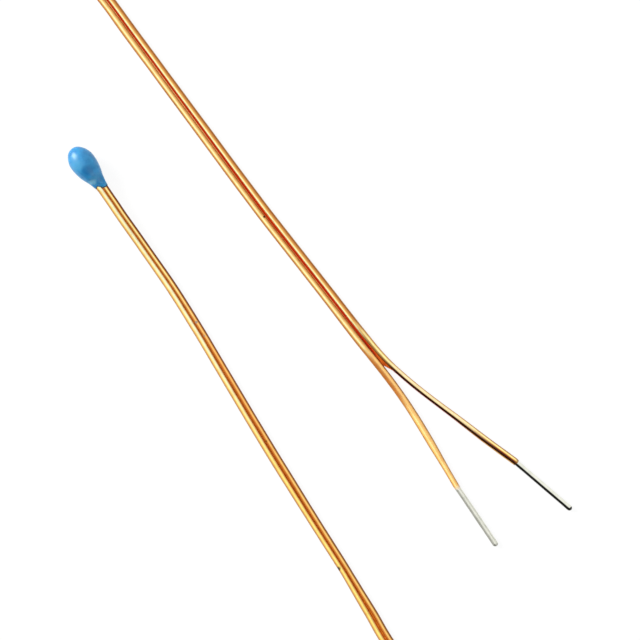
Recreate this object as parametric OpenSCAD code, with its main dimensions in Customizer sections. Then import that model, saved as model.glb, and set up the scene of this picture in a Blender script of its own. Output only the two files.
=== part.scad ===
// Bead thermistor: an epoxy-dipped chip on a bonded pair of enamelled copper wires with tinned ends.
// The part lies flat. Its origin is on the surface under the widest section of the bead, and +Z is up.

/* [Wires] */
// Diameter of the copper conductor
conductor_d = 0.22; // [0.16:0.01:0.26]
// Wall of the enamel on each conductor
enamel_t = 0.04; // [0.03:0.005:0.06]
// Width of the bonding film between the two enamelled wires at the bead
bond_gap = 0.02; // [0.02:0.01:0.06]
// Width of the bonding film at the fork, where the wires begin to part
fork_gap = 0.14; // [0.08:0.01:0.2]

/* [Tinned ends] */
// Bare length of wire a, on the left going away from the bead
tip_a_len = 3.6; // [2.4:0.1:4.8]
// Bare length of wire b, on the right
tip_b_len = 3.5; // [2.4:0.1:4.8]
// Thickness of the tin on the bare copper
tin_t = 0.04; // [0.02:0.005:0.06]

/* [Bead] */
// Widest diameter of the epoxy bead
bead_d = 1.3; // [1.15:0.01:1.6]
// Length from the widest section to the tip of the nose
nose_len = 0.87; // [0.8:0.01:1.1]
// Radius of the nose
nose_r = 0.5; // [0.4:0.01:0.55]
// Length from the widest section to the end of the neck
neck_len = 1.55; // [1.35:0.01:1.9]
// Epoxy left round the pair where the neck ends
neck_wall = 0.03; // [0.02:0.005:0.06]
// Radius of the hollows that thin the neck above and below the pair
saddle_r = 0.9; // [0.7:0.05:1.2]
// Share of the back of the bead that bulges before it hollows towards the neck
bulge_share = 0.62; // [0.5:0.01:0.75]
// Angle at which the bead's axis dips towards its lead
dip = 4; // [2:0.5:6]

/* [Chip] */
// Length of the ceramic chip along the bead
chip_l = 0.5; // [0.4:0.01:0.6]
// Thickness of the chip between its electrodes
chip_t = 0.25; // [0.18:0.01:0.32]
// Height of the chip
chip_h = 0.5; // [0.4:0.01:0.6]
// Distance of the chip's middle from the widest section, towards the nose
chip_back = 0.15; // [0:0.01:0.25]
// Thickness of each silver electrode
electrode_t = 0.02; // [0.015:0.005:0.04]
// Solder left between a conductor and its electrode
solder_gap = 0.02; // [0.015:0.005:0.04]
// Thickness of the solder over a conductor at the middle of its joint
solder_t = 0.06; // [0.04:0.005:0.09]
// Length of each solder joint
solder_len = 0.36; // [0.28:0.01:0.4]
// Length of enamel held inside the bead
grip = 0.65; // [0.5:0.01:0.75]
// Bare copper left between the end of the enamel and the bend towards the chip
bare = 0.1; // [0.05:0.01:0.2]

/* [Hidden] */
$fn = 64;

// Sides of wires a and b, seen going away from the bead
LEFT = 1;
RIGHT = -1;

// Wire section: flats face the other wire and the surface
SIDES = 8;
wire_d = conductor_d + 2 * enamel_t;
pitch = wire_d + bond_gap;
enamel_r = wire_d / 2 / cos(180 / SIDES);
tip_r = conductor_d / 2 + tin_t;
// Height of the wires past the fork, where the thicker of enamel and tin lies on the surface
tail_z = max(wire_d / 2, tip_r);

// Arcs of the bead's outline: nose, shoulder, bulging back and hollow neck, each tangent to the next
bead_r = bead_d / 2;
neck_r = (pitch + wire_d) / 2 + neck_wall;
neck_h = wire_d / 2 + neck_wall;
nose_c = nose_len - nose_r;
shoulder_r = (nose_c * nose_c + bead_r * bead_r - nose_r * nose_r) / (2 * (bead_r - nose_r));
nose_end = nose_c * shoulder_r / (shoulder_r - nose_r);
back_angle = 2 * atan((bead_r - neck_r) / neck_len);
back_r = neck_len / sin(back_angle);
bulge_r = back_r * bulge_share;
hollow_r = back_r - bulge_r;
bulge_end = bulge_r * sin(back_angle);

// Places along the bead's axis, from the widest section towards the neck
chip_x = -chip_back;
wire_start = chip_x - chip_l / 2;
splay_start = chip_x + chip_l / 2;
enamel_start = neck_len - grip;
splay_end = enamel_start - bare;
// Straight stretch of the pair past the end of the neck, and before each tinned end
straight = 0.15;
// Distance of a conductor from the axis beside the chip
chip_side = chip_t / 2 + electrode_t;
splay = chip_side + solder_gap + conductor_d / 2;

// The bead rests on its back, a little past its widest section
bead_heading = -51;
bead_z = bulge_r - (bulge_r - bead_r) * cos(dip);

// Route of the pair past the neck: x, y and lift above lying on the surface
PAIR = [[1.8, -2.45, 0.3], [3, -4.15, 0.15], [4.4, -6.15, 0.04], [5.65, -8.15, 0], [6.85, -10.15, 0],
        [8.05, -12.15, 0], [9.85, -15.15, 0], [11.7, -18.15, 0], [13.6, -21.15, 0], [14.8, -23.15, 0],
        [16.4, -25.8, 0], [17.1, -28.9, 0], [16.4, -32.8, 0], [13.9, -36.1, 0], [10.4, -37.9, 0],
        [6, -38.3, 0], [1.2, -37.2, 0], [-3.4, -34.4, 0], [-7, -30, 0], [-8.9, -24, 0],
        [-9.7, -16, 0], [-9.9, -8, 0], [-9.7, 0, 0], [-9.2, 6, 0], [-8.3, 9.4, 0],
        [-6.3, 11.4, 0], [-3.6, 11.8, 0], [-1.2, 10.9, 0], [1.15, 8.15, 0], [4.1, 4.15, 0],
        [8.6, -1.85, 0], [11.7, -5.85, 0], [13.25, -7.85, 0], [14.6, -9.55, 0]];
// Each wire past the fork, to the end of its enamel, and the heading of its tinned end
TAIL_A = [[15.16, -9.86], [16.25, -10.85], [18.85, -12.85], [20.15, -13.85], [21.7, -15]];
TAIL_B = [[14.84, -10.12], [15.35, -10.85], [16.7, -12.85], [17.95, -14.85], [18.75, -16.25]];
TIP_HEADING_A = -40.5;
TIP_HEADING_B = -56;
// Sections in each span of the route
STEPS = 2;

function tail(side) = side == LEFT ? TAIL_A : TAIL_B;
function tip_heading(side) = side == LEFT ? TIP_HEADING_A : TIP_HEADING_B;
function tip_len(side) = side == LEFT ? tip_a_len : tip_b_len;
function last(list) = list[len(list) - 1];
function on_surface(p) = [p.x, p.y, tail_z];

// Points on one smooth curve through a list of points
function unit(v) = v / norm(v);
function blend(a, b) = (unit(a) * norm(b) + unit(b) * norm(a)) / (norm(a) + norm(b));
function slope(p, i) =
    i == 0 ? unit(p[1] - p[0])
    : i == len(p) - 1 ? unit(p[i] - p[i - 1])
    : blend(p[i] - p[i - 1], p[i + 1] - p[i]);
function between(p, i, t) =
    let(reach = norm(p[i + 1] - p[i]))
    p[i] * (2 * pow(t, 3) - 3 * t * t + 1)
    + slope(p, i) * reach * (pow(t, 3) - 2 * t * t + t)
    + p[i + 1] * (3 * t * t - 2 * pow(t, 3))
    + slope(p, i + 1) * reach * (pow(t, 3) - t * t);
function smooth(p) = [for (i = [0:len(p) - 2]) for (k = [0:STEPS - 1]) between(p, i, k / STEPS), last(p)];

// Direction of travel at each point of a path, and the way to the left of it
function travel(path, i) = unit(path[min(i + 1, len(path) - 1)] - path[max(i - 1, 0)]);
function left_of(t) = unit([-t.y, t.x, 0]);

// The bead's axis, and a conductor's distance from it as it closes up from the chip to the pair
axis = [cos(dip) * cos(bead_heading), cos(dip) * sin(bead_heading), -sin(dip)];
function on_axis(x) = [0, 0, bead_z] + x * axis;
function closed(x) = min(max((x - splay_start) / (splay_end - splay_start), 0), 1);
function offset_at(x) = let(c = closed(x)) splay + (pitch / 2 - splay) * c * c * (3 - 2 * c);
CLOSING = [0, 0.25, 0.5, 0.75, 1];
axis_x = concat([wire_start], [for (c = CLOSING) splay_start + c * (splay_end - splay_start)],
                [enamel_start, neck_len, neck_len + straight]);
ENAMEL_FIRST = len(CLOSING) + 1;
AXIS_LAST = len(axis_x) - 1;

// Centre line of the pair past the neck, never below the surface, and of each wire from chip to tinned end.
// The film between the wires widens along the pair, from the bead to the fork.
function lying(p) = [p.x, p.y, max(p.z, wire_d / 2)];
pair_line = smooth(concat([on_axis(last(axis_x))], [for (p = PAIR) [p.x, p.y, wire_d / 2 + p.z]]));
pair_path = [for (p = pair_line) lying(p)];
function film_gap(i) = bond_gap + (fork_gap - bond_gap) * i / (len(pair_path) - 1);
function beside(i, side) =
    pair_path[i] + side * (wire_d + film_gap(i)) / 2 * left_of(travel(pair_path, i));
function tip_way(side) = [cos(tip_heading(side)), sin(tip_heading(side)), 0];
function enamel_end(side) = on_surface(last(tail(side)));
function tail_path(side) =
    let(bare = tail(side),
        mid = [for (i = [0:len(bare) - 2]) on_surface(bare[i])],
        out = enamel_end(side) - straight * tip_way(side))
    smooth(concat([beside(len(pair_path) - 1, side)], mid, [out]));
function wire_path(side) = concat(
    [for (x = axis_x) on_axis(x) + side * offset_at(x) * left_of(axis)],
    [for (i = [1:len(pair_path) - 2]) beside(i, side)],
    tail_path(side),
    [enamel_end(side), enamel_end(side) + (tip_len(side) - tip_r) * tip_way(side)]);
path_a = wire_path(LEFT);
path_b = wire_path(RIGHT);
function path_of(side) = side == LEFT ? path_a : path_b;
// The bonding film is torn off at the first bend past the fork
FILM_LAST = AXIS_LAST + len(pair_path) - 1 + STEPS;

// One eight-sided section of a wire, counted from the upper left
function section(path, i, r) =
    let(t = travel(path, i), left = left_of(t), up = cross(t, left))
    [for (k = [0:SIDES - 1]) let(a = (k + 0.5) * 360 / SIDES) path[i] + r * (cos(a) * left + sin(a) * up)];
function sections(side, first, end, r) = [for (i = [first:end]) section(path_of(side), i, r)];
// The film's section lies between the flats that face each other, and is counted the other way round
function film_section(i) =
    let(a = section(path_a, i, enamel_r), b = section(path_b, i, enamel_r))
    [a[SIDES / 2 - 1], a[SIDES / 2], b[SIDES - 1], b[0]];

// Faces of a tube through sections of n points, each four-sided face as two triangles
function skin(count, n, at = 0) = [
    for (i = [0:count - 2]) for (k = [0:n - 1])
        let(a = at + i * n + k, d = at + i * n + (k + 1) % n, b = a + n, c = d + n)
        each [[a, b, c], [a, c, d]]];
function flipped(faces) = [for (f = faces) [f[0], f[2], f[1]]];
function fan(n, at) = [for (k = [1:n - 2]) [at, at + k, at + k + 1]];
function rim(n, outer, inner) = [
    for (k = [0:n - 1])
        let(a = outer + k, b = outer + (k + 1) % n, c = inner + (k + 1) % n, d = inner + k)
        each [[a, b, c], [a, c, d]]];
function joined(lists) = [for (list = lists) each list];

module solid_tube(rings, reversed = false) {
    n = len(rings[0]);
    end = (len(rings) - 1) * n;
    faces = concat(skin(len(rings), n), fan(n, 0), flipped(fan(n, end)));
    polyhedron(joined(rings), reversed ? flipped(faces) : faces);
}

module hollow_tube(outer, inner) {
    n = len(outer[0]);
    count = len(outer);
    bore = count * n;
    end = (count - 1) * n;
    walls = concat(skin(count, n), flipped(skin(count, n, bore)));
    ends = concat(rim(n, 0, bore), flipped(rim(n, end, bore + end)));
    polyhedron(joined(concat(outer, inner)), concat(walls, ends));
}

// Places children on the bead's axis, x towards the neck
module at_bead() {
    translate([0, 0, bead_z]) rotate([0, dip, bead_heading]) children();
}

// Half of the bead's outline, with the axis going up
module bead_outline() {
    intersection() {
        translate([0, -nose_c]) circle(nose_r);
        translate([0, -nose_len]) square([bead_r, nose_len - nose_end]);
    }
    intersection() {
        translate([bead_r - shoulder_r, 0]) circle(shoulder_r, $fn = 180);
        translate([0, -nose_end]) square([bead_r, nose_end]);
    }
    intersection() {
        translate([bead_r - bulge_r, 0]) circle(bulge_r, $fn = 180);
        square([bead_r, bulge_end]);
    }
    difference() {
        translate([0, bulge_end]) square([bead_r - bulge_r * (1 - cos(back_angle)), neck_len - bulge_end]);
        translate([neck_r + hollow_r, neck_len]) circle(hollow_r, $fn = 180);
    }
}

// The hollows above and below the neck
module neck_saddles() {
    for (way = [1, -1])
        at_bead() translate([neck_len, 0, way * (neck_h + saddle_r)])
            rotate([90, 0, 0]) cylinder(r = saddle_r, h = bead_d, center = true, $fn = 180);
}

// A block at the chip's place, with its own thickness between the wires
module chip_block(thickness) {
    at_bead() translate([chip_x - chip_l / 2, -thickness / 2, -chip_h / 2]) cube([chip_l, thickness, chip_h]);
}

module electrode(side) {
    color([0.85, 0.85, 0.83]) at_bead()
        translate([chip_x - chip_l / 2, side == LEFT ? chip_t / 2 : -chip_side, -chip_h / 2])
            cube([chip_l, electrode_t, chip_h]);
}

// A spindle of solder round the conductor
module solder_spindle(side) {
    rim_r = conductor_d / 2 + solder_t / 4;
    rise = conductor_d / 2 + solder_t - rim_r;
    arc_r = (rise * rise + solder_len * solder_len / 4) / (2 * rise);
    at_bead() translate([chip_x, side * splay, 0]) rotate([0, 90, 0]) rotate_extrude() intersection() {
        translate([rim_r + rise - arc_r, 0]) circle(arc_r, $fn = 180);
        translate([0, -solder_len / 2]) square([rim_r + rise, solder_len]);
    }
}

// The solder is flat where it wets the electrode
module solder_joint(side) {
    color([0.72, 0.72, 0.74]) difference() {
        solder_spindle(side);
        chip_block(2 * chip_side);
        solid_tube(sections(side, 0, 1, conductor_d / 2));
    }
}

// A wire as the epoxy holds it: bare copper, then enamel to a little past the end of the neck
module held_wire(side) {
    solid_tube(concat(sections(side, 0, ENAMEL_FIRST, conductor_d / 2),
                      sections(side, ENAMEL_FIRST, AXIS_LAST, enamel_r)));
}

// The bonding film, from the start of the enamel to one of the sections
module film(end) {
    solid_tube([for (i = [ENAMEL_FIRST:end]) film_section(i)], reversed = true);
}

module conductor(side) {
    color([0.8, 0.45, 0.25]) solid_tube(sections(side, 0, len(path_of(side)) - 1, conductor_d / 2));
}

module enamel(side) {
    end = len(path_of(side)) - 2;
    color([0.87, 0.65, 0.3]) hollow_tube(
        sections(side, ENAMEL_FIRST, end, enamel_r),
        sections(side, ENAMEL_FIRST, end, conductor_d / 2));
}

module bond_film() {
    color([0.76, 0.36, 0.08]) film(FILM_LAST);
}

// Tin over the bare copper, with a domed end
module tinned_tip(side) {
    copper_len = tip_len(side) - tip_r;
    color([0.78, 0.78, 0.76]) translate(enamel_end(side)) rotate([0, 90, tip_heading(side)])
        rotate_extrude() {
            translate([conductor_d / 2, 0]) square([tin_t, copper_len]);
            translate([0, copper_len]) intersection() {
                circle(tip_r);
                square(tip_r);
            }
        }
}

module epoxy_bead() {
    color([0.2, 0.51, 0.71]) difference() {
        at_bead() rotate([0, 90, 0]) rotate_extrude($fn = 96) bead_outline();
        neck_saddles();
        chip_block(2 * chip_side);
        for (side = [LEFT, RIGHT]) {
            solder_spindle(side);
            held_wire(side);
        }
        film(AXIS_LAST);
    }
}

module thermistor_chip() {
    color([0.22, 0.2, 0.2]) chip_block(chip_t);
}

epoxy_bead();
thermistor_chip();
electrode(LEFT);  // electrode_a
electrode(RIGHT);  // electrode_b
solder_joint(LEFT);  // solder_joint_a
solder_joint(RIGHT);  // solder_joint_b
conductor(LEFT);  // conductor_a
conductor(RIGHT);  // conductor_b
enamel(LEFT);  // enamel_a
enamel(RIGHT);  // enamel_b
bond_film();
tinned_tip(LEFT);  // tinned_tip_a
tinned_tip(RIGHT);  // tinned_tip_b
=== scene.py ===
"""Looks of a bead thermistor: an epoxy bead on a bonded pair of enamelled copper wires with tinned ends."""

import math

import bpy
import numpy as np
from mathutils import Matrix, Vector, noise


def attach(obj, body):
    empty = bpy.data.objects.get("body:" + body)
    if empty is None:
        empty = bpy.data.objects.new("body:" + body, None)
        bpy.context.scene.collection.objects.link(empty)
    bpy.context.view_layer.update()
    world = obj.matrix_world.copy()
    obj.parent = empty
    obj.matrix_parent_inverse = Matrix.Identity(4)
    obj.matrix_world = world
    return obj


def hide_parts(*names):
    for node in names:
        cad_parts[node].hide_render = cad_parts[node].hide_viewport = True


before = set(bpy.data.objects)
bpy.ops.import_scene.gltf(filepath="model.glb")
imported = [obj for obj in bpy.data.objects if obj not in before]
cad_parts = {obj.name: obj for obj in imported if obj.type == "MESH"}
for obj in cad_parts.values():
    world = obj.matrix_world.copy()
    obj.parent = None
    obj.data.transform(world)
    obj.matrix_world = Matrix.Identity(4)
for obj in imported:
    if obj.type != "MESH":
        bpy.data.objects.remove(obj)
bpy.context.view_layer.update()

MM = 0.001

# Sizes of the wires, in millimetres
WIRE_R = 0.15
CORE_R = 0.11
BOND_GAP = 0.02
FORK_GAP = 0.14
TIP_R = 0.15
TIP_LENGTHS = {"a": 3.6, "b": 3.5}
# Height of the wires past the fork, where the thicker of enamel and tin lies on the surface
TAIL_Z = max(WIRE_R, TIP_R)

# Sizes of the bead, in millimetres, and the way that it points, in degrees
BEAD_R = 0.65
NOSE_LEN = 0.87
NOSE_R = 0.5
NECK_LEN = 1.55
NECK_WALL = 0.03
BULGE_SHARE = 0.62
SADDLE_R = 0.9
GRIP = 0.65
BARE = 0.1
STRAIGHT = 0.15
BEAD_HEADING = -51
BEAD_DIP = 4

# Where the conductors lie beside the chip: from and to along the bead's axis, and distance from the axis
CHIP_FROM = -0.4
CHIP_TO = 0.1
SPLAY = 0.275

# Route of the pair past the neck of the bead: x, y and lift above lying on the surface
PAIR = [(1.8, -2.45, 0.3), (3, -4.15, 0.15), (4.4, -6.15, 0.04), (5.65, -8.15, 0), (6.85, -10.15, 0),
        (8.05, -12.15, 0), (9.85, -15.15, 0), (11.7, -18.15, 0), (13.6, -21.15, 0), (14.8, -23.15, 0),
        (16.4, -25.8, 0), (17.1, -28.9, 0), (16.4, -32.8, 0), (13.9, -36.1, 0), (10.4, -37.9, 0),
        (6, -38.3, 0), (1.2, -37.2, 0), (-3.4, -34.4, 0), (-7, -30, 0), (-8.9, -24, 0),
        (-9.7, -16, 0), (-9.9, -8, 0), (-9.7, 0, 0), (-9.2, 6, 0), (-8.3, 9.4, 0),
        (-6.3, 11.4, 0), (-3.6, 11.8, 0), (-1.2, 10.9, 0), (1.15, 8.15, 0), (4.1, 4.15, 0),
        (8.6, -1.85, 0), (11.7, -5.85, 0), (13.25, -7.85, 0), (14.6, -9.55, 0)]
# Each wire past the fork, to the end of its enamel, and the heading of its tinned end
TAILS = {"a": [(15.16, -9.86), (16.25, -10.85), (18.85, -12.85), (20.15, -13.85), (21.7, -15)],
         "b": [(14.84, -10.12), (15.36, -10.85), (16.12, -11.85), (16.74, -12.85), (17.92, -14.85),
               (18.75, -16.25)]}
TIP_HEADINGS = {"a": -40.5, "b": -56}
# Wire a is on the left going away from the bead
SIDES = {"a": 1, "b": -1}
# Sections in each span of the route, and points round a wire
STEPS = 12
WIRE_POINTS = 32

# The photograph's view, in millimetres: straight down on a square of the surface
VIEW_CENTRE = (11.875, -7.86)
VIEW_WIDTH = 32
CAMERA_HEIGHT = 250

# Colours of the enamel and of the highlights, reflections and shade painted on it, from the palest painted
# highlight to near black, the colour of dark specks and of a painted reflection along tail a
HIGHLIGHT_WHITE = (1, 0.96, 0.6)
CREAM = (0.94, 0.82, 0.46)
PALE = (1, 0.91, 0.38)
YELLOW = (1, 0.86, 0.22)
GOLD = (0.92, 0.54, 0.12)
PEACH = (1, 0.62, 0.21)
TAN = (0.62, 0.32, 0.1)
AMBER = (0.6, 0.2, 0.03)
OLIVE = (0.34, 0.19, 0.05)
BROWN = (0.28, 0.1, 0.015)
CRIMSON = (0.4, 0.045, 0.004)
MAROON = (0.09, 0.012, 0.003)
SPECK_AND_REFLECTION_BLACK = (0.03, 0.012, 0.006)


def unit(v):
    """Directions with a length of 1."""
    return v / np.linalg.norm(v, axis=-1, keepdims=True)


def smoothstep(low, high, x):
    """Smooth rise from 0 at low to 1 at high."""
    t = np.clip((x - low) / (high - low), 0, 1)
    return t * t * (3 - 2 * t)


def by_table(x, table):
    """Value at x from a table of places and the values there."""
    return np.interp(x, *zip(*table))


def wander(x, waves):
    """A slow unevenness along x: a sum of waves, each with its size, length and phase."""
    return sum(size * np.sin(2 * math.pi * (x / length + phase)) for size, length, phase in waves)


# Lines of the wires

def slope_between(a, b):
    """Direction of a smooth curve where two chords meet."""
    la, lb = np.linalg.norm(a), np.linalg.norm(b)
    return (a / la * lb + b / lb * la) / (la + lb)


def smooth(points, steps=STEPS):
    """Points on one smooth curve through the given ones."""
    points = np.array(points, float)
    chords = np.diff(points, axis=0)
    inner = [slope_between(a, b) for a, b in zip(chords, chords[1:])]
    slopes = [unit(chords[0]), *inner, unit(chords[-1])]
    t = np.arange(steps)[:, None] / steps
    spans = []
    for i, chord in enumerate(chords):
        reach = np.linalg.norm(chord)
        spans.append(points[i] * (2 * t**3 - 3 * t**2 + 1)
                     + slopes[i] * reach * (t**3 - 2 * t**2 + t)
                     + points[i + 1] * (3 * t**2 - 2 * t**3)
                     + slopes[i + 1] * reach * (t**3 - t**2))
    return np.vstack([*spans, points[-1:]])


def travel(line):
    """Direction at each point of a line."""
    ahead = np.vstack([line[1:], line[-1:]])
    behind = np.vstack([line[:1], line[:-1]])
    return unit(ahead - behind)


def left_of(t):
    """Level direction to the left of a way of travel."""
    return unit(np.stack([-t[..., 1], t[..., 0], 0 * t[..., 0]], axis=-1))


def along(line):
    """Distance from the start of a line to each of its points."""
    return np.concatenate([[0], np.cumsum(np.linalg.norm(np.diff(line, axis=0), axis=1))])


def heading(degrees, dip=0):
    """Direction at an angle from x towards y, dipping below level."""
    a, d = math.radians(degrees), math.radians(dip)
    return np.array([math.cos(d) * math.cos(a), math.cos(d) * math.sin(a), -math.sin(d)])


# Arcs of the bead's outline, from the tip of its nose to the end of its neck
PITCH = 2 * WIRE_R + BOND_GAP
NECK_R = PITCH / 2 + WIRE_R + NECK_WALL
NECK_H = WIRE_R + NECK_WALL
NOSE_C = NOSE_LEN - NOSE_R
SHOULDER_R = (NOSE_C**2 + BEAD_R**2 - NOSE_R**2) / (2 * (BEAD_R - NOSE_R))
NOSE_END = NOSE_C * SHOULDER_R / (SHOULDER_R - NOSE_R)
BACK_ANGLE = 2 * math.atan((BEAD_R - NECK_R) / NECK_LEN)
BACK_R = NECK_LEN / math.sin(BACK_ANGLE)
BULGE_R = BACK_R * BULGE_SHARE
HOLLOW_R = BACK_R - BULGE_R
BULGE_END = BULGE_R * math.sin(BACK_ANGLE)
BEAD_Z = BULGE_R - (BULGE_R - BEAD_R) * math.cos(math.radians(BEAD_DIP))

# How much nearer to the pair's middle each wire lies at the bead, squeezed together by the varnish
CLOSER = 0.02
HELD_PITCH = PITCH - 2 * CLOSER

AXIS = heading(BEAD_HEADING, BEAD_DIP)
AXIS_LEFT = left_of(AXIS)
AXIS_UP = np.cross(AXIS, AXIS_LEFT)
ENAMEL_FROM = NECK_LEN - GRIP


def on_axis(x):
    """Points at places on the bead's axis."""
    return np.array([0, 0, BEAD_Z]) + np.multiply.outer(x, AXIS)


def pair_line():
    """Centre line of the pair from the end of the bead's neck to the fork, never below the surface."""
    route = [(x, y, WIRE_R + lift) for x, y, lift in PAIR]
    line = smooth([on_axis(NECK_LEN + STRAIGHT), *route])
    line[:, 2] = np.maximum(line[:, 2], WIRE_R)
    return line


PAIR_LINE = pair_line()
FILM_GAP = np.linspace(BOND_GAP, FORK_GAP, len(PAIR_LINE))


def splayed_line(side):
    """Line of a bare conductor inside the bead, from beside the chip to the start of its enamel."""
    x = np.concatenate([[CHIP_FROM], np.linspace(CHIP_TO, ENAMEL_FROM - BARE, STEPS)])
    offset = SPLAY + (HELD_PITCH / 2 - SPLAY) * smoothstep(CHIP_TO, ENAMEL_FROM - BARE, x)
    return on_axis(x) + np.outer(side * offset, AXIS_LEFT)


def held_line(side):
    """Line of a wire inside the bead, from the start of its enamel."""
    stations = np.linspace(ENAMEL_FROM, NECK_LEN + STRAIGHT, STEPS, endpoint=False)
    return on_axis(stations) + side * HELD_PITCH / 2 * AXIS_LEFT


# How much nearer each wire lies along the pair: at distances from the neck, for the wire on each side
CLOSER_AT = [0, 2, 8, 13, 17, 19, 20.5, 22.5, 23, 24, 25.5]
CLOSER_BY = {1: [CLOSER, CLOSER, CLOSER, 0.012, 0.005, 0.008, 0.01, 0.017, 0.03, 0.03, 0],
             -1: [CLOSER, 0.027, 0.025, 0.032, 0.038, 0.05, 0.06, 0.06, 0.045, 0.02, 0.01]}

# How far both wires drift to the left of the route: distances from the neck and the drift there, and the
# same with distances back from the fork
NECK_DRIFT = [(0, 0), (1, 0.03), (2.5, 0.028), (5, 0.008), (9, 0.02), (11.5, 0), (13.5, -0.014),
              (15.5, -0.012), (17.5, 0), (25.2, 0), (26.8, -0.06), (29, -0.075), (40, 0)]
FORK_DRIFT = [(0, -0.02), (2, -0.014), (3, -0.006), (7, -0.025), (9, -0.03), (12.5, 0), (14, 0.014),
              (18.3, 0.022), (19.2, 0.005), (20, -0.005), (20.8, -0.002), (22.1, 0.025), (25, 0)]


def beside_pair(side):
    """Line of a wire along the pair."""
    s = along(PAIR_LINE)
    closer = np.interp(s, CLOSER_AT, CLOSER_BY[side])
    drift = by_table(s, NECK_DRIFT) + by_table(s[-1] - s, FORK_DRIFT)
    offset = side * (WIRE_R + FILM_GAP / 2 - closer) + drift
    return PAIR_LINE + offset[:, None] * left_of(travel(PAIR_LINE))


# How each wire is eased at the fork: from how many spans before it, to how many past it, and how often
EASING = {"a": (2, 3, 30), "b": (2, 5, 60)}
EASE_POINTS = 60
# How far the enamel reaches over the tin, and the colour of its cut end
OVERLAP = {"a": 0, "b": 0.08}
CUT_END = {"a": BROWN, "b": (0.85, 0.78, 0.66)}


def ease(line, first, last, rounds):
    """Takes the kinks out of one stretch of a line."""
    s = along(line[first:last])
    even = np.linspace(0, s[-1], EASE_POINTS)
    eased = np.stack([np.interp(even, s, line[first:last, k]) for k in range(3)], axis=1)
    for _ in range(rounds):
        eased[1:-1] = (eased[:-2] + 2 * eased[1:-1] + eased[2:]) / 4
    line = line.copy()
    line[first:last] = np.stack([np.interp(s, even, eased[:, k]) for k in range(3)], axis=1)
    return line


def enamel_end(wire):
    """Point where a wire's enamel ends in the solids, and its tinned end begins."""
    x, y = TAILS[wire][-1]
    return np.array([x, y, TAIL_Z])


def wire_line(wire):
    """Centre line of an enamelled wire, and the index of the fork on it."""
    side = SIDES[wire]
    held = held_line(side)
    pair = beside_pair(side)
    tail = [(x, y, TAIL_Z) for x, y in TAILS[wire][:-1]]
    out = enamel_end(wire) - STRAIGHT * heading(TIP_HEADINGS[wire])
    fork = len(held) + len(pair) - 1
    end = enamel_end(wire) + OVERLAP[wire] * heading(TIP_HEADINGS[wire])
    line = np.vstack([held, pair[:-1], smooth([pair[-1], *tail, out]), [end]])
    before, past, rounds = EASING[wire]
    return ease(line, fork - before * STEPS, fork + past * STEPS, rounds), fork


# Meshes

# Edges sharper than this stay sharp in the shading
SHARP_ANGLE = math.radians(50)


def mesh_object(name, points, faces, material):
    """A smooth-shaded mesh of the part, from points in millimetres."""
    mesh = bpy.data.meshes.new(name)
    mesh.from_pydata((np.asarray(points) * MM).tolist(), [], faces)
    mesh.validate()
    mesh.polygons.foreach_set("use_smooth", [True] * len(mesh.polygons))
    mesh.set_sharp_from_angle(angle=SHARP_ANGLE)
    mesh.materials.append(material)
    thing = bpy.data.objects.new(name, mesh)
    bpy.context.scene.collection.objects.link(thing)
    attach(thing, "root")
    return thing


def loft_faces(rings, count, loop):
    """Four-sided faces through rings of count points; loop joins the last ring to the first."""
    faces = []
    for i in range(rings if loop else rings - 1):
        a, b = i * count, (i + 1) % rings * count
        for k in range(count):
            m = (k + 1) % count
            faces.append((a + k, a + m, b + m, b + k))
    return faces


def loft(name, rings, material, loop=False, first=None, last=None):
    """A mesh through rings of points, closed by a point at each end or into a loop."""
    count = len(rings[0])
    points = [p for ring in rings for p in ring]
    faces = loft_faces(len(rings), count, loop)
    if first is not None:
        faces += [(len(points), (k + 1) % count, k) for k in range(count)]
        points.append(first)
    if last is not None:
        end = (len(rings) - 1) * count
        faces += [(len(points), end + k, end + (k + 1) % count) for k in range(count)]
        points.append(last)
    return mesh_object(name, points, faces, material)


def add_values(thing, name, values):
    """Keeps one number for each point of a mesh, for its material to read."""
    attribute = thing.data.attributes.new(name, "FLOAT", "POINT")
    attribute.data.foreach_set("value", np.asarray(values, np.float32))


def circle(centre, t, r, angles, flatten=0.0):
    """Ring of points round a line that goes along t, from its left towards its top."""
    left = left_of(t)
    up = np.cross(t, left)
    return centre + np.outer(r * (1 + flatten) * np.cos(angles), left) + np.outer(r * np.sin(angles), up)


def round_angles(count):
    """Angles of points spread evenly round a ring."""
    return 2 * math.pi * np.arange(count) / count


def across_wire(wire, angles):
    """Place across a wire: 0 on the side that is bonded, 1 on its outer side."""
    return 0.5 + 0.5 * SIDES[wire] * np.cos(angles)


# Materials

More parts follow.
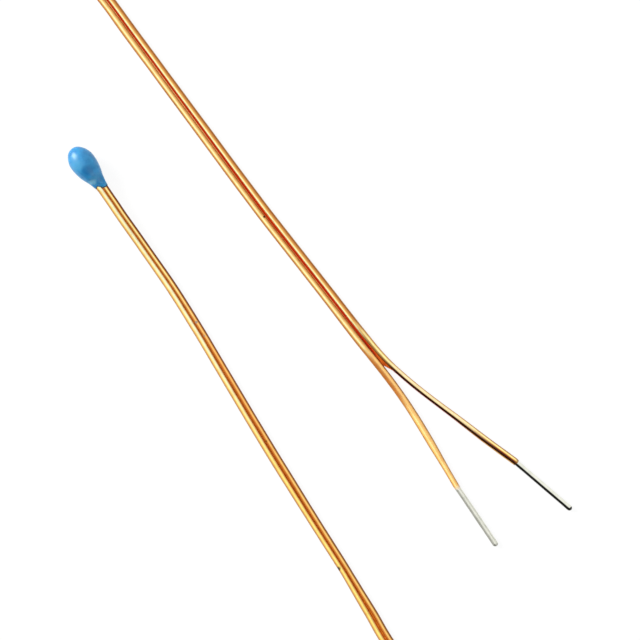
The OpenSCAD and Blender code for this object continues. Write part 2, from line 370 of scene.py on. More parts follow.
class Finish:
    """A procedural material: one shader and the nodes that drive it. Lengths in its nodes are millimetres."""

    def __init__(self, name, **sockets):
        self.material = bpy.data.materials.new(name)
        self.material.use_nodes = True
        self.tree = self.material.node_tree
        self.shader = self.tree.nodes["Principled BSDF"]
        for socket, value in sockets.items():
            self.shader.inputs[socket.replace("_", " ")].default_value = value

    def node(self, kind, inputs=(), **settings):
        """A new node, with a value or a link for each of its inputs."""
        made = self.tree.nodes.new("ShaderNode" + kind)
        for key, value in settings.items():
            setattr(made, key, value)
        for socket, value in dict(inputs).items():
            if isinstance(value, bpy.types.NodeSocket):
                self.tree.links.new(value, made.inputs[socket])
            else:
                made.inputs[socket].default_value = value
        return made

    def place(self):
        """Place on the part in millimetres."""
        coordinates = self.node("TexCoord").outputs["Object"]
        return self.node("Mapping", {"Vector": coordinates, "Scale": [1 / MM] * 3}).outputs["Vector"]

    def value(self, name):
        """Number kept for each point of the mesh."""
        return self.node("Attribute", attribute_name=name).outputs["Fac"]

    def noise(self, scale, detail=3, roughness=0.5):
        """Uneven grey from 0 to 1, with scale lumps to the millimetre."""
        inputs = {"Scale": scale, "Detail": detail, "Roughness": roughness, "Vector": self.place()}
        return self.node("TexNoise", inputs).outputs["Fac"]

    def ramp(self, factor, *stops):
        """Colour by a factor, from stops of a position and a colour."""
        made = self.node("ValToRGB", {"Fac": factor})
        elements = made.color_ramp.elements
        while len(elements) < len(stops):
            elements.new(0.5)
        for element, (position, colour) in zip(elements, stops):
            element.position = position
            element.color = (*colour, 1)
        return made.outputs["Color"]

    def between(self, factor, low, high, to_low=0.0, to_high=1.0):
        """A factor's stretch from low to high, spread over another range."""
        inputs = {"Value": factor, "From Min": low, "From Max": high, "To Min": to_low, "To Max": to_high}
        return self.node("MapRange", inputs).outputs["Result"]

    def mix(self, factor, a, b, mode="MIX"):
        """Colour a, with as much of colour b in it as the factor says."""
        made = self.node("Mix", data_type="RGBA", blend_type=mode)
        for socket, value in (("Factor", factor), ("A", a), ("B", b)):
            target = [s for s in made.inputs if s.name == socket and s.enabled][0]
            if isinstance(value, bpy.types.NodeSocket):
                self.tree.links.new(value, target)
            else:
                target.default_value = (*value, 1) if socket in "AB" else value
        return [s for s in made.outputs if s.enabled][0]

    def near(self, point, radius):
        """1 near a point of the part, falling to 0 over the outer half of a radius round it."""
        inputs = {0: self.place(), 1: point}
        distance = self.node("VectorMath", inputs, operation="DISTANCE").outputs["Value"]
        return self.between(distance, radius * 0.5, radius, 1, 0)

    def drive(self, socket, source):
        """Links a source to one of the shader's sockets."""
        self.tree.links.new(source, self.shader.inputs[socket])

    def bump(self, height, depth):
        """Fine relief, depth millimetres deep."""
        inputs = {"Height": height, "Distance": depth * MM}
        self.drive("Normal", self.node("Bump", inputs).outputs["Normal"])


# Colours across each wire, from the side that is bonded, over the top, to its outer side: the amber of the
# enamel with painted highlights, painted reflections and painted shade in bands across it, such as a pale
# painted highlight on top, brown painted shade at the sides and a near-black painted reflection along tail a.
# The first is the set at the bead, where the film is thin. The others take its place where the value of their
# name is 1: middle in the run past the bead, thick in the far run, where the film is thick, parting where the
# wires part, single past there, and ending by the burnt end
ENAMEL_AND_PAINTED_LIGHT = {
    "a": {
        "start": [(0, BROWN), (0.1, AMBER), (0.23, TAN), (0.34, GOLD), (0.42, PALE), (0.52, PALE),
                  (0.58, GOLD), (0.66, AMBER), (0.75, BROWN), (1, MAROON)],
        "middle": [(0, BROWN), (0.12, AMBER), (0.32, AMBER), (0.43, GOLD), (0.52, PEACH), (0.62, GOLD),
                   (0.72, TAN), (0.82, BROWN), (1, BROWN)],
        "thick": [(0, GOLD), (0.05, PALE), (0.12, HIGHLIGHT_WHITE), (0.24, HIGHLIGHT_WHITE), (0.32, PALE), (0.42, GOLD),
                  (0.54, TAN), (0.68, AMBER), (0.84, BROWN), (1, TAN)],
        "parting": [(0, AMBER), (0.1, OLIVE), (0.3, OLIVE), (0.42, TAN), (0.52, PALE), (0.7, PALE),
                    (0.84, TAN), (1, TAN)],
        "single": [(0, AMBER), (0.06, CRIMSON), (0.11, SPECK_AND_REFLECTION_BLACK), (0.36, SPECK_AND_REFLECTION_BLACK), (0.44, TAN),
                   (0.5, CREAM), (0.8, CREAM), (0.92, TAN), (1, TAN)],
        "ending": [(0, GOLD), (0.1, TAN), (0.19, BROWN), (0.27, MAROON), (0.49, MAROON), (0.57, AMBER),
                   (0.64, GOLD), (0.69, PALE), (0.8, PALE), (0.88, TAN), (1, BROWN)],
    },
    "b": {
        "start": [(0, GOLD), (0.04, PALE), (0.1, HIGHLIGHT_WHITE), (0.42, HIGHLIGHT_WHITE), (0.58, PALE), (0.72, GOLD),
                  (0.9, TAN), (1, TAN)],
        "middle": [(0, AMBER), (0.04, GOLD), (0.1, PEACH), (0.3, PEACH), (0.4, YELLOW), (0.56, YELLOW),
                   (0.68, GOLD), (0.84, TAN), (1, TAN)],
        "thick": [(0, TAN), (0.22, TAN), (0.4, PEACH), (0.5, PALE), (0.56, HIGHLIGHT_WHITE), (0.64, PALE),
                  (0.71, GOLD), (0.8, TAN), (0.92, AMBER), (1, TAN)],
        "parting": [(0, TAN), (0.1, TAN), (0.22, PEACH), (0.4, PEACH), (0.54, TAN), (0.68, AMBER),
                    (0.86, AMBER), (1, TAN)],
        "single": [(0, OLIVE), (0.08, TAN), (0.22, PEACH), (0.45, PEACH), (0.6, PALE), (0.72, PEACH),
                   (0.83, GOLD), (0.92, TAN), (1, TAN)],
    },
}
# Orange tint multiplied into wire a past the bead
AMBER_TINT = (1, 0.76, 0.6)
# Specks and nicks in the enamel: place, in millimetres, radius and colour
NICK = (0.4, 0.3, 0.22)
SPECKS = [((12.83, -20.27, 0.2), 0.15, SPECK_AND_REFLECTION_BLACK), ((9.08, -2.71, 0.25), 0.08, SPECK_AND_REFLECTION_BLACK),
          ((5.7, -7.97, 0.28), 0.09, NICK), ((6.1, -8.65, 0.3), 0.06, NICK),
          ((9.18, -13.92, 0.28), 0.08, BROWN)]


def enamel_finish(wire):
    """Amber enamel on copper: pale gold painted highlight on top, brown painted shade at the sides, dull
    where varnish is left.
    """
    finish = Finish("amber_enamel_" + wire, Metallic=1.0, Roughness=0.22, Specular_Tint=(0.5, 0.24, 0.07, 1),
                    Coat_Weight=0.3, Coat_Roughness=0.08, Coat_IOR=1.5)
    across = finish.value("across")
    # Each set of bands paints highlights, reflections and shade into the enamel's colour
    first, *others = ((name, finish.ramp(across, *stops)) for name, stops in ENAMEL_AND_PAINTED_LIGHT[wire].items())
    colour = first[1]
    for name, coat in others:
        colour = finish.mix(finish.value(name), colour, coat)
    colour = finish.mix(finish.value("amber"), colour, AMBER_TINT, "MULTIPLY")
    streaks = finish.between(finish.noise(3, 3), 0.4, 0.75, 0, 0.25)
    colour = finish.mix(streaks, colour, TAN, "MULTIPLY")
    for point, radius, tone in SPECKS:
        colour = finish.mix(finish.near(point, radius), colour, tone)
    finish.drive("Base Color", finish.mix(finish.value("burnt"), colour, CUT_END[wire]))
    finish.drive("Roughness", finish.between(finish.value("dull"), 0, 1, 0.2, 0.5))
    finish.bump(finish.noise(3, 2), 0.0006)
    return finish.material


# Colours across the thick film, from wire a to wire b, and its shade of uneven red
FILM_ROLL = [(0, (0.85, 0.4, 0.08)), (0.12, (0.56, 0.1, 0.008)), (0.22, (0.32, 0.007, 0.0005)),
             (0.66, (0.33, 0.009, 0.0005)), (0.82, (0.58, 0.16, 0.03)), (0.95, (0.72, 0.38, 0.14)),
             (1, (0.74, 0.42, 0.16))]
FILM_RED = (0.3, 0.008, 0.001)


def film_finish():
    """Bonding varnish: brown and thin at the bead, crimson by the fork, orange where it is torn."""
    finish = Finish("bonding_varnish", Roughness=0.6, Specular_IOR_Level=0.05)
    tone = finish.noise(5, 4)
    thin = finish.ramp(tone, (0.3, (0.42, 0.1, 0.006)), (0.7, (0.58, 0.16, 0.012)))
    roll = finish.ramp(finish.value("across"), *FILM_ROLL)
    shaded = finish.mix(finish.between(tone, 0.4, 0.75, 0, 0.3), roll, FILM_RED)
    torn = finish.ramp(tone, (0.3, (0.3, 0.035, 0.003)), (0.7, (0.5, 0.1, 0.008)))
    colour = finish.mix(finish.value("thick"), thin, shaded)
    finish.drive("Base Color", finish.mix(finish.value("torn"), colour, torn))
    finish.drive("Roughness", finish.between(finish.noise(12, 3), 0.3, 0.7, 0.4, 0.6))
    finish.bump(finish.noise(14, 3), 0.006)
    return finish.material


# Patches painted on the epoxy: two painted highlights towards the nose, painted shade in the middle, a
# lighter painted flank to the right, and a painted reflection by the lip over wire b: place, in millimetres,
# radius and colour
PAINTED_LIGHT_PATCHES = [((-0.17, -0.15, 1.1), 0.42, (0.05, 0.27, 0.48)), ((-0.3, 0.2, 1.1), 0.3, (0.06, 0.25, 0.44)),
          ((0.28, -0.4, 1.15), 0.34, (0.007, 0.14, 0.33)), ((0.68, -0.46, 0.9), 0.3, (0.03, 0.26, 0.52)),
          ((0.54, -0.92, 0.75), 0.26, (0.16, 0.42, 0.6))]
# Painted shadow at the thin edge of the epoxy on the wires
LIP_SHADOW_PAINT = (0.02, 0.025, 0.015)


def epoxy_finish():
    """Dipped, cured blue epoxy: soft gloss, faint mottling, painted patches of light and shade, a painted lip
    shadow.
    """
    finish = Finish("blue_epoxy", Roughness=0.34, Specular_IOR_Level=0.36, Coat_Weight=0.1,
                    Coat_Roughness=0.3, Subsurface_Weight=0.5, Subsurface_Scale=0.25 * MM,
                    Subsurface_Radius=(0.25, 0.7, 1))
    mottle = finish.noise(2.4, 4, 0.55)
    colour = finish.ramp(mottle, (0.3, (0.011, 0.155, 0.36)), (0.7, (0.028, 0.26, 0.5)))
    for point, radius, tone in PAINTED_LIGHT_PATCHES:
        colour = finish.mix(finish.near(point, radius), colour, tone)
    finish.drive("Base Color", finish.mix(finish.value("painted_lip_shadow"), colour, LIP_SHADOW_PAINT))
    finish.drive("Roughness", finish.between(finish.noise(5, 3), 0.3, 0.7, 0.28, 0.42))
    finish.bump(finish.noise(4, 3), 0.008)
    return finish.material


# Share of blue in the grey of the painted dark band on the tin: painted reflection on tip a, painted shade on
# tip b
PAINTED_DARK_BLUE = 0.9


def tin_finish(name, dull, *painted_dark_stops):
    """Solder-dipped wire, bright or dull, with a faint cloud of oxide, and painted reflection and shade
    across it.
    """
    finish = Finish(name, Metallic=1.0, Roughness=dull)
    cloud = finish.noise(3, 3)
    colour = finish.ramp(cloud, (0.3, (0.7, 0.71, 0.68)), (0.65, (0.85, 0.85, 0.83)))
    side = finish.ramp(finish.value("across"), *((place, (c, c, c * PAINTED_DARK_BLUE)) for place, c in painted_dark_stops))
    finish.drive("Base Color", finish.mix(1.0, colour, side, "MULTIPLY"))
    finish.drive("Roughness", finish.between(finish.noise(5, 3), 0.3, 0.7, dull * 0.85, dull * 1.2))
    finish.bump(cloud, 0.001)
    return finish.material


def grained_finish(name, dark, light, scale, relief, **sockets):
    """A plain inner material with a grain of its own."""
    finish = Finish(name, **sockets)
    grain = finish.noise(scale, 4)
    finish.drive("Base Color", finish.ramp(grain, (0.3, dark), (0.7, light)))
    finish.bump(grain, relief)
    return finish.material


# Camera, floor and light

def make_camera():
    """The photograph's camera, straight above the middle of the view."""
    data = bpy.data.cameras.new("camera")
    data.lens = data.sensor_width * CAMERA_HEIGHT / VIEW_WIDTH
    data.clip_start = 0.01
    data.clip_end = 10
    camera = bpy.data.objects.new("camera", data)
    camera.location = (VIEW_CENTRE[0] * MM, VIEW_CENTRE[1] * MM, CAMERA_HEIGHT * MM)
    bpy.context.scene.collection.objects.link(camera)
    bpy.context.scene.camera = camera


# Half of the floor's side, in metres, its paint, and the share of plain white in how it is seen
FLOOR_HALF = 1.5
FLOOR_PAINT = (0.9, 0.9, 0.9, 1)
FLOOR_WHITE = 0.87


def make_floor():
    """A pale floor. To the camera and in reflections it is mostly plain white, and keeps a soft shadow."""
    mesh = bpy.data.meshes.new("floor")
    corners = [(x * FLOOR_HALF, y * FLOOR_HALF, 0) for x, y in ((-1, -1), (1, -1), (1, 1), (-1, 1))]
    mesh.from_pydata(corners, [], [(0, 1, 2, 3)])
    floor = bpy.data.objects.new("floor", mesh)
    bpy.context.scene.collection.objects.link(floor)
    material = bpy.data.materials.new("floor_white")
    material.use_nodes = True
    nodes, links = material.node_tree.nodes, material.node_tree.links
    nodes.clear()
    path = nodes.new("ShaderNodeLightPath")
    seen = path.outputs["Is Camera Ray"]
    for ray in ("Is Glossy Ray", "Is Transmission Ray"):
        either = nodes.new("ShaderNodeMath")
        either.operation = "ADD"
        links.new(seen, either.inputs[0])
        links.new(path.outputs[ray], either.inputs[1])
        seen = either.outputs[0]
    share = nodes.new("ShaderNodeMath")
    share.operation = "MULTIPLY"
    share.use_clamp = True
    links.new(seen, share.inputs[0])
    share.inputs[1].default_value = FLOOR_WHITE
    paint = nodes.new("ShaderNodeBsdfDiffuse")
    paint.inputs["Color"].default_value = FLOOR_PAINT
    white = nodes.new("ShaderNodeEmission")
    white.inputs["Strength"].default_value = 1
    mix = nodes.new("ShaderNodeMixShader")
    links.new(share.outputs[0], mix.inputs["Fac"])
    links.new(paint.outputs[0], mix.inputs[1])
    links.new(white.outputs[0], mix.inputs[2])
    output = nodes.new("ShaderNodeOutputMaterial")
    links.new(mix.outputs[0], output.inputs["Surface"])
    mesh.materials.append(material)


# The studio's bright half: the way to its middle, how softly it ends, and its light
BRIGHT_HEADING = 130
BRIGHT_TILT = 12
BRIGHT_EDGE = 0.06
BRIGHT_LIGHT = 1.1
# The dim half grows lighter this way, across this much of it, from the one light to the other
DIM_HEADING = 20
DIM_EDGE = 0.5
DIM_LIGHT = (0.03, 0.6)


def make_world():
    """Soft studio light: a bright half to the upper left of the view and a dim one to the lower right."""
    world = bpy.data.worlds.new("studio")
    world.use_nodes = True
    bpy.context.scene.world = world
    nodes, links = world.node_tree.nodes, world.node_tree.links
    direction = nodes.new("ShaderNodeTexCoord").outputs["Generated"]

    def share(way, edge, kind):
        """How far a direction lies towards a way, from 0 to 1 across its edge."""
        towards = nodes.new("ShaderNodeVectorMath")
        towards.operation = "DOT_PRODUCT"
        links.new(direction, towards.inputs[0])
        towards.inputs[1].default_value = Vector(way)
        ramp = nodes.new("ShaderNodeMapRange")
        ramp.interpolation_type = kind
        ramp.inputs["From Min"].default_value = -edge
        ramp.inputs["From Max"].default_value = edge
        links.new(towards.outputs["Value"], ramp.inputs["Value"])
        return ramp

    dim = share(heading(DIM_HEADING), DIM_EDGE, "LINEAR")
    dim.inputs["To Min"].default_value, dim.inputs["To Max"].default_value = DIM_LIGHT
    bright = share(heading(BRIGHT_HEADING, -BRIGHT_TILT), BRIGHT_EDGE, "SMOOTHSTEP")
    links.new(dim.outputs["Result"], bright.inputs["To Min"])
    bright.inputs["To Max"].default_value = BRIGHT_LIGHT
    background = nodes["Background"]
    background.inputs["Color"].default_value = (1, 1, 1, 1)
    links.new(bright.outputs["Result"], background.inputs["Strength"])


def make_lamp(name, azimuth, elevation, distance, size, power):
    """A soft square lamp that faces the middle of the view."""
    data = bpy.data.lights.new(name, "AREA")
    data.shape = "SQUARE"
    data.size = size
    data.energy = power
    lamp = bpy.data.objects.new(name, data)
    target = Vector((VIEW_CENTRE[0] * MM, VIEW_CENTRE[1] * MM, 0))
    away = Vector(heading(azimuth, -elevation))
    lamp.location = target + away * distance
    lamp.rotation_euler = away.to_track_quat("Z", "Y").to_euler()
    bpy.context.scene.collection.objects.link(lamp)


# Pieces of the part

# Where each value along a wire rises from 0 to 1: distances from its start, from the fork or from its end
TONES = {
    "a": {"middle": ("start", 5, 12), "thick": ("start", 25, 75), "parting": ("fork", -2.2, -0.5),
          "single": ("fork", 0.5, 1.4), "ending": ("end", -4.2, -1), "burnt": ("end", -0.07, -0.02)},
    "b": {"middle": ("start", 9, 18), "thick": ("start", 25, 75), "parting": ("fork", -1, 0.4),
          "single": ("fork", 2, 4), "burnt": ("end", -0.07, -0.02)},
}
# How much wire a is tinted orange, by distance from its start, and how much wire b is dulled, far along and
# past the fork
AMBER_SHARE = 0.6
AMBER_RISE = (5, 11)
AMBER_FALL = (11, 20)
FAR_DULL = 0.2
FORK_DULL = 0.8
FORK_DULL_RISE = (0.5, 1.6)


def wire_tones(wire, s, fork):
    """What changes along a wire, at distances s from its start."""
    marks = {"start": 0, "fork": s[fork], "end": s[-1]}
    tones = {name: smoothstep(low, high, s - marks[mark]) for name, (mark, low, high) in TONES[wire].items()}
    tones["amber"] = tones["dull"] = np.zeros(len(s))
    if wire == "a":
        tones["amber"] = AMBER_SHARE * smoothstep(*AMBER_RISE, s) * (1 - smoothstep(*AMBER_FALL, s))
    else:
        tones["dull"] = FAR_DULL * tones["thick"] + FORK_DULL * smoothstep(*FORK_DULL_RISE, s - s[fork])
    return tones


# Two short stretches of wire b: where it is narrower, from its start, and where it is wider, from the fork
NARROW_STRETCH = [(17, 0), (20, -0.07), (23.5, -0.07), (25.5, 0)]
WIDE_STRETCH = [(-22, 0), (-21, 0.08), (-19, 0.08), (-18, 0)]
# Where the far run's wider section begins, from the fork
FAR_RUN = (-60, -30)


def wire_flatness(wire, s, fork):
    """How much wider than round a wire is: a little less at the bead, more where it keeps its varnish."""
    past = s - s[fork]
    far = smoothstep(*FAR_RUN, past)
    if wire == "b":
        # Wider in the far run, more so by the fork, and round again past its varnish
        wider = 0.1 * far + 0.2 * smoothstep(-4, 0, past)
        flat = by_table(s, NARROW_STRETCH) + wider * (1 - smoothstep(5, 7.2, past))
        return flat + by_table(past, WIDE_STRETCH)
    # Wider by its burnt end and in the far run, and narrower towards the bead, in two steps
    flat = 0.18 * smoothstep(s[-1] - 5, s[-1] - 2, s)
    flat += 0.06 * far * (1 - smoothstep(-1, 1, past))
    return flat - (0.07 * (1 - smoothstep(10, 40, s)) + 0.05 * (1 - smoothstep(4, 9, s)))


# The enamel's thickness, as a share of its full radius, and its waves along a wire
COAT_MEAN = 0.985
COAT_WAVES = [(0.006, 3.1, 0.2), (0.005, 1.3, 0.7), (0.003, 0.53, 0.1)]
# The burnt end of the enamel: how long it is, how much it draws in, and the waves round its edge
BURNT_RUN = 0.12
BURNT_TAPER = 0.07
BURNT_WAVES = [(0.02, 2 * math.pi, 0.1), (0.012, 2 * math.pi / 3, 0.6)]


def make_wire(wire, material):
    """An enamelled wire: a hollow tube with an uneven burnt end, from inside the bead to its tinned tip."""
    line, fork = wire_line(wire)
    ways = travel(line)
    s = along(line)
    angles = round_angles(WIRE_POINTS)
    end = smoothstep(s[-1] - BURNT_RUN, s[-1], s)
    radius = WIRE_R * (COAT_MEAN + wander(s, COAT_WAVES)) * (1 - BURNT_TAPER * end)
    flat = wire_flatness(wire, s, fork)
    outer = [circle(c, t, r, angles, f) for c, t, r, f in zip(line, ways, radius, flat)]
    ragged = wander(angles, BURNT_WAVES)
    for ring, way, share in zip(outer, ways, end):
        ring += np.outer(ragged * share, way)
    inner = [circle(c, t, CORE_R, angles) for c, t in zip(line, ways)]
    piece = loft("enamel_" + wire + "_tube", [*outer, *inner[::-1]], material, loop=True)
    add_values(piece, "across", np.tile(across_wire(wire, angles), 2 * len(line)))
    for name, values in wire_tones(wire, s, fork).items():
        add_values(piece, name, np.repeat(np.concatenate([values, values[::-1]]), WIRE_POINTS))
    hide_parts("enamel_" + wire)
    return piece, line


# Share of the copper's radius in the enamel, and in the tip, where the solder has eaten into it
CORE_FIT = 0.98
CORE_EATEN = 0.8


def make_core(wire, material):
    """The copper inside a wire, from beside the chip to the end of the tinned tip."""
    line, _ = wire_line(wire)
    tip = enamel_end(wire) + heading(TIP_HEADINGS[wire]) * (TIP_LENGTHS[wire] - TIP_R)
    line = np.vstack([splayed_line(SIDES[wire]), line, [tip]])
    angles = round_angles(WIRE_POINTS // 2)
    radius = np.full(len(line), CORE_R * CORE_FIT)
    radius[-2:] = CORE_R * CORE_EATEN
    rings = [circle(c, t, r, angles) for c, t, r in zip(line, travel(line), radius)]
    piece = loft("copper_core_" + wire, rings, material, first=line[0], last=line[-1])
    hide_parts("conductor_" + wire)
    return piece


# The bonding film: half of its height at the wires, and how far it reaches into them
FILM_HALF = 0.058
FILM_INSET = 0.03
# Places across the film from wire a to wire b, and its height there
FILM_ACROSS = np.array([0, 0.2, 0.45, 0.7, 1])
FILM_HEIGHT = np.array([1, 1.1, 0.6, 0.5, 0.8])
# The torn strip past the fork: its length, how far it keeps its width, that width and the least one, the
# waves along its edge, and the share of its height that it loses
TORN_LEN = 1.4
TORN_KEEPS = 0.3
TORN_WIDTH = 0.2
TORN_LEAST = 0.004
TORN_WAVES = [(0.012, 0.23, 0.3), (0.008, 0.11, 0.8)]
TORN_LOSS = 0.5
# The darkest red wanders between the wires: distance past the fork, and shift towards wire a
RED_SHIFT = [(-15, 0.2), (-9, 0.02), (-3, 0.12), (0, 0)]
# Where the film grows thick, by distance from its start, and where it begins to be torn, from the fork
THICK_RISE = (20, 70)
TORN_RISE = (-0.2, 0.4)


def make_film(material):
    """The varnish between the wires, hollow above and below, with a torn strip on wire a past the fork."""
    line_a, fork = wire_line("a")
    line_b, _ = wire_line("b")
    s = along(line_a)
    past = s - s[fork]
    beyond = np.maximum(past, 0)
    last = int(np.searchsorted(s, s[fork] + TORN_LEN))
    lefts = left_of(travel(line_a))
    up = np.array([0, 0, 1])
    strip = TORN_WIDTH * (1 - smoothstep(TORN_KEEPS, TORN_LEN, beyond)) + wander(beyond, TORN_WAVES)
    thinned = 1 - TORN_LOSS * smoothstep(0, TORN_LEN, beyond)
    rings = []
    for i in range(last):
        torn = i > fork
        gap = np.linalg.norm(line_a[i] - line_b[i]) - 2 * WIRE_R
        width = min(gap, max(strip[i], TORN_LEAST)) if torn else gap
        inset = np.array([-FILM_INSET, 0, 0, 0, 0 if torn else FILM_INSET])
        middle = line_a[i] - np.outer(WIRE_R + width * FILM_ACROSS + inset, lefts[i])
        rise = np.outer(FILM_HALF * FILM_HEIGHT * thinned[i], up)
        rings.append(np.vstack([middle - rise, (middle + rise)[::-1]]))
    start = (line_a[0] + line_b[0]) / 2
    end = line_a[last] - lefts[last] * WIRE_R
    piece = loft("bonding_film", rings, material, first=start, last=end)
    section = np.concatenate([FILM_ACROSS, FILM_ACROSS[::-1]])
    shift = by_table(past[:last], RED_SHIFT)
    add_values(piece, "across", [*np.add.outer(shift, section).ravel(), 0.5, 0])
    tones = {"thick": smoothstep(*THICK_RISE, s[:last]), "torn": smoothstep(*TORN_RISE, past[:last])}
    for name, values in tones.items():
        add_values(piece, name, [*np.repeat(values, len(section)), 0, 1])
    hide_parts("bond_film")
    return piece


# Each tin coat: how flat it is, the way that its flat side is turned, in degrees from the top to the right,
# and where across it the painted dark band is darkest
TIN_FLAT = {"a": 0.2, "b": 0.04}
TIN_TURN = {"a": 36, "b": 0}
TIN_PAINTED_DARK = {"a": 0.25, "b": 0.85}
# How far the tin reaches into the enamel, and its radius there
TIN_INSIDE = 0.1
TIN_INSIDE_R = 0.9 * WIRE_R
# The tin's thickness, as a share of its full radius, its waves, and how much it gathers by the end
TIN_MEAN = 0.95
TIN_WAVES = [(0.01, 2.3, 0.4), (0.006, 0.9, 0.1)]
TIN_GATHERS = 0.04
# Where it gathers, and where its painted dark band turns round the end: distances back from the end
GATHER_RUN = (0.6, 0.2)
PAINTED_DARK_RUN = (0.14, 0.07)
# Rings along the shank and round the end, and the angles of the first and the last of these, in radians
SHANK_RINGS = 60
DOME_RINGS = 14
DOME_ANGLES = (0.1, 1.5)


def tin_ring(wire, centre, way, r, angles):
    """Ring of points round a tinned end."""
    turn = math.radians(TIN_TURN[wire])
    left = left_of(way)
    up = np.cross(way, left)
    wide = math.cos(turn) * left + math.sin(turn) * up
    high = math.cos(turn) * up - math.sin(turn) * left
    flat = 1 - TIN_FLAT[wire]
    return centre + np.outer(r * np.cos(angles), wide) + np.outer(r * flat * np.sin(angles), high)


def make_tip(wire, material):
    """A tinned end: uneven solder over the bare copper, gathered at its rounded end."""
    way = heading(TIP_HEADINGS[wire])
    start = enamel_end(wire)
    length = TIP_LENGTHS[wire]
    round_from = length - TIP_R
    shank = np.linspace(-TIN_INSIDE, round_from, SHANK_RINGS)
    x = np.concatenate([shank, round_from + TIP_R * np.sin(np.linspace(*DOME_ANGLES, DOME_RINGS))])
    body = TIN_MEAN + wander(x, TIN_WAVES)
    gathered = 1 + TIN_GATHERS * smoothstep(length - GATHER_RUN[0], length - GATHER_RUN[1], x)
    dome = np.sqrt(1 - ((x - round_from) / TIP_R).clip(0, 1) ** 2)
    radius = TIP_R * np.minimum(body * gathered, 1) * dome
    radius = np.minimum(radius, np.where(x < 0, TIN_INSIDE_R, TIP_R))
    angles = round_angles(WIRE_POINTS)
    rings = [tin_ring(wire, start + way * p, way, r, angles) for p, r in zip(x, radius)]
    piece = loft("tinned_end_" + wire, rings, material,
                 first=start - way * TIN_INSIDE, last=start + way * length)
    # The painted dark band down the side (reflection on tip a, shade on tip b) turns round the end
    turned = smoothstep(length - PAINTED_DARK_RUN[0], length - PAINTED_DARK_RUN[1], x)[:, None]
    across = across_wire(wire, angles) * (1 - turned) + TIN_PAINTED_DARK[wire] * turned
    add_values(piece, "across", [*across.ravel(), 0.5, TIN_PAINTED_DARK[wire]])
    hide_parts("tinned_tip_" + wire)
    return piece


def bead_radius(x):
    """Radius of the bead's round outline at a place on its axis."""
    if x < -NOSE_END:
        return math.sqrt(max(NOSE_R**2 - (x + NOSE_C) ** 2, 0))
    if x < 0:
        return BEAD_R - SHOULDER_R + math.sqrt(SHOULDER_R**2 - x**2)
    if x < BULGE_END:
        return BEAD_R - BULGE_R + math.sqrt(BULGE_R**2 - x**2)
    return NECK_R + HOLLOW_R - math.sqrt(HOLLOW_R**2 - (NECK_LEN - x) ** 2)


# How softly the hollows of the neck run into the bead
SADDLE_BLEND = 0.03


def bead_height(x):
    """Half of the bead's height, which the hollows above and below the pair make less at the neck."""
    run = NECK_LEN - x
    if run >= SADDLE_R:
        return bead_radius(x)
    hollow = NECK_H + SADDLE_R - math.sqrt(SADDLE_R**2 - run**2)
    both = math.exp(-hollow / SADDLE_BLEND) + math.exp(-bead_radius(x) / SADDLE_BLEND)
    return -SADDLE_BLEND * math.log(both)


# How sharply a wall round the pair turns from the wires to the film
PAIR_POWER = 6


def round_pair(angles, wall):
    """Distance from the axis to the outside of a wall of epoxy round the two wires and their film."""
    y = HELD_PITCH / 2 * np.abs(np.cos(angles))
    z = HELD_PITCH / 2 * np.sin(angles)
    wires = y + np.sqrt(np.maximum((WIRE_R + wall) ** 2 - z**2, 0))
    film = FILM_HALF + wall
    return (wires**PAIR_POWER + film**PAIR_POWER) ** (1 / PAIR_POWER)


# Points round the bead, rings along its nose and its body, the angles of the nose's first and last ring, in
# radians, and the gap from there to the body's first
BEAD_POINTS = 96
NOSE_RINGS = 18
BODY_RINGS = 72
NOSE_ANGLES = (0.08, 1.2)
BODY_GAP = 0.03
# The bead's lip: places across the neck from wire b's side to wire a's, and how far it creeps there
LIP_CREEP = [(-0.32, -0.08), (-0.24, -0.13), (-0.15, -0.17), (-0.06, -0.06), (0.03, 0.05), (0.15, 0.1),
             (0.24, 0.1), (0.32, 0.08)]
LIP_WALL = 0.018
# How far back from the neck's end the lip begins, the drop starts to hug the wires, and its wall thins
LIP_RUN = 0.6
HUG_RUN = 0.3
WALL_RUN = 0.1
# How far the thin edge of the epoxy runs out on the wires, and how deep its edge and its inside lie in them
MENISCUS = 0.06
EDGE_DEPTH = 0.004
INSIDE_DEPTH = 0.03
# How far the drop leans towards wire a's side, and has sagged towards its neck, and where the wires stop both
LEAN = 0.03
SAG = 0.02
HELD_RISE = (0.8, 1.5)
# How much squarer than round the drop's section becomes towards the neck, and from where
SQUARER = 0.7
SQUARER_FROM = 0.7
# Unevenness of the drop: its share of the radius, and lumps to the millimetre
UNEVEN = 0.012
LUMPS = 2.2


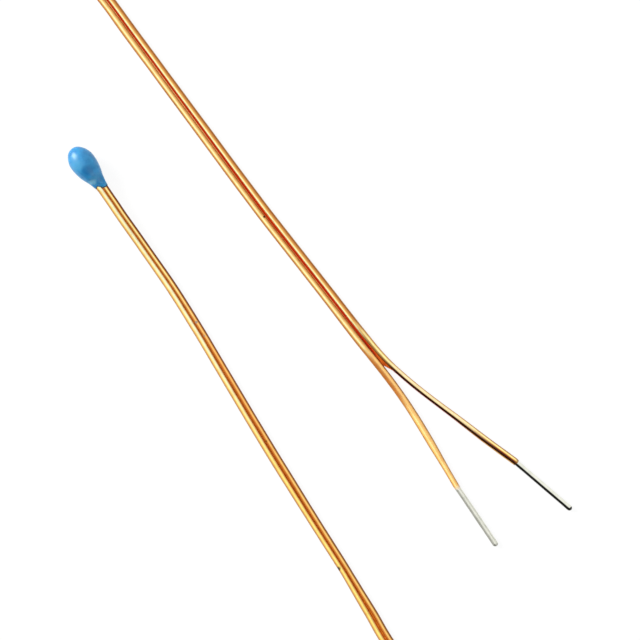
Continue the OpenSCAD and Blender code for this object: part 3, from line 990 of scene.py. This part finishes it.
def make_bead(material):
    """The bead: a dipped drop, drawn in to an uneven lip that hugs the two wires."""
    angles = round_angles(BEAD_POINTS)
    nose = -NOSE_LEN + NOSE_R * (1 - np.cos(np.linspace(*NOSE_ANGLES, NOSE_RINGS)))
    body = np.linspace(nose[-1] + BODY_GAP, NECK_LEN, BODY_RINGS)

    def ring(x, distance, shift):
        """Ring of points at a distance from the axis, shifted along it."""
        free = 1 - smoothstep(*HELD_RISE, x)
        y = distance * np.cos(angles) + LEAN * free
        z = distance * np.sin(angles)
        return on_axis(x + shift + SAG * free) + np.outer(y, AXIS_LEFT) + np.outer(z, AXIS_UP)

    def lip(x, distance):
        """How far the edge of the epoxy creeps along the wires, or stays back over them."""
        creep = by_table(distance * np.cos(angles), LIP_CREEP)
        return creep * smoothstep(NECK_LEN - LIP_RUN, NECK_LEN, x)

    rings = []
    for x in [*nose, *body]:
        wide, high = bead_radius(x), bead_height(x)
        power = 2 + SQUARER * smoothstep(SQUARER_FROM, NECK_LEN, x)
        sides = np.abs(np.cos(angles) / wide) ** power + np.abs(np.sin(angles) / high) ** power
        drop = sides ** (-1 / power)
        hug = smoothstep(NECK_LEN - HUG_RUN, NECK_LEN, x)
        wall = NECK_WALL + (LIP_WALL - NECK_WALL) * smoothstep(NECK_LEN - WALL_RUN, NECK_LEN, x)
        distance = drop * (1 - hug) + round_pair(angles, wall) * hug
        points = ring(x, distance, lip(x, distance))
        uneven = np.array([noise.noise(Vector(p) * LUMPS) for p in points])
        rings.append(points + (points - on_axis(x)) * (UNEVEN * uneven)[:, None])
    outside = len(rings)
    edge = round_pair(angles, -EDGE_DEPTH)
    rings.append(ring(NECK_LEN, edge, lip(NECK_LEN, edge) + MENISCUS))
    back = NECK_LEN - HUG_RUN
    rings.append(ring(back, round_pair(angles, -INSIDE_DEPTH), 0))
    nose_tip = on_axis(-NOSE_LEN + SAG) + LEAN * AXIS_LEFT
    piece = loft("epoxy_drop", rings, material, first=nose_tip, last=on_axis(back))
    # Painted shadow: the drop darkens from its last ring but one to its thin edge
    dark = np.zeros(len(rings))
    dark[outside - 1] = 0.5
    dark[outside:] = 1
    add_values(piece, "painted_lip_shadow", [*np.repeat(dark, len(angles)), 0, 1])
    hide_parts("epoxy_bead")
    return piece


def dress(node, material):
    """A finish for a node that keeps its own shape."""
    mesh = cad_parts[node].data
    mesh.materials.clear()
    mesh.materials.append(material)


bpy.context.scene.view_settings.view_transform = "Standard"
make_camera()
make_floor()
make_world()
make_lamp("key", azimuth=152, elevation=25, distance=0.4, size=0.2, power=2.1)
make_lamp("fill", azimuth=-45, elevation=42, distance=0.4, size=0.3, power=0.35)

# Stops across each tin paint a dark band into its colour: a painted reflection on tip a, painted shade on tip
# b
tins = {"a": tin_finish("bright_tin", 0.12, (0, 0.5), (0.06, 0.2), (0.14, 0.05), (0.68, 0.05), (0.8, 1)),
        "b": tin_finish("dull_tin", 0.32, (0.5, 1), (0.72, 0.52), (0.95, 0.52))}
copper = grained_finish("bare_copper", dark=(0.6, 0.25, 0.12), light=(0.9, 0.5, 0.32), scale=15,
                        relief=0.002, Metallic=1.0, Roughness=0.3)
silver = grained_finish("fired_silver", dark=(0.62, 0.62, 0.6), light=(0.86, 0.86, 0.83), scale=40,
                        relief=0.004, Metallic=1.0, Roughness=0.45)
solder = grained_finish("joint_solder", dark=(0.45, 0.45, 0.46), light=(0.75, 0.75, 0.75), scale=12,
                        relief=0.01, Metallic=1.0, Roughness=0.35)
ceramic = grained_finish("chip_ceramic", dark=(0.02, 0.018, 0.018), light=(0.08, 0.07, 0.065), scale=30,
                         relief=0.006, Roughness=0.6)

film = make_film(film_finish())
for wire in SIDES:
    tube, line = make_wire(wire, enamel_finish(wire))
    on_it = [make_tip(wire, tins[wire]), make_core(wire, copper)]
    if wire == "a":
        on_it.append(film)
    dress("electrode_" + wire, silver)
    dress("solder_joint_" + wire, solder)
make_bead(epoxy_finish())
dress("thermistor_chip", ceramic)
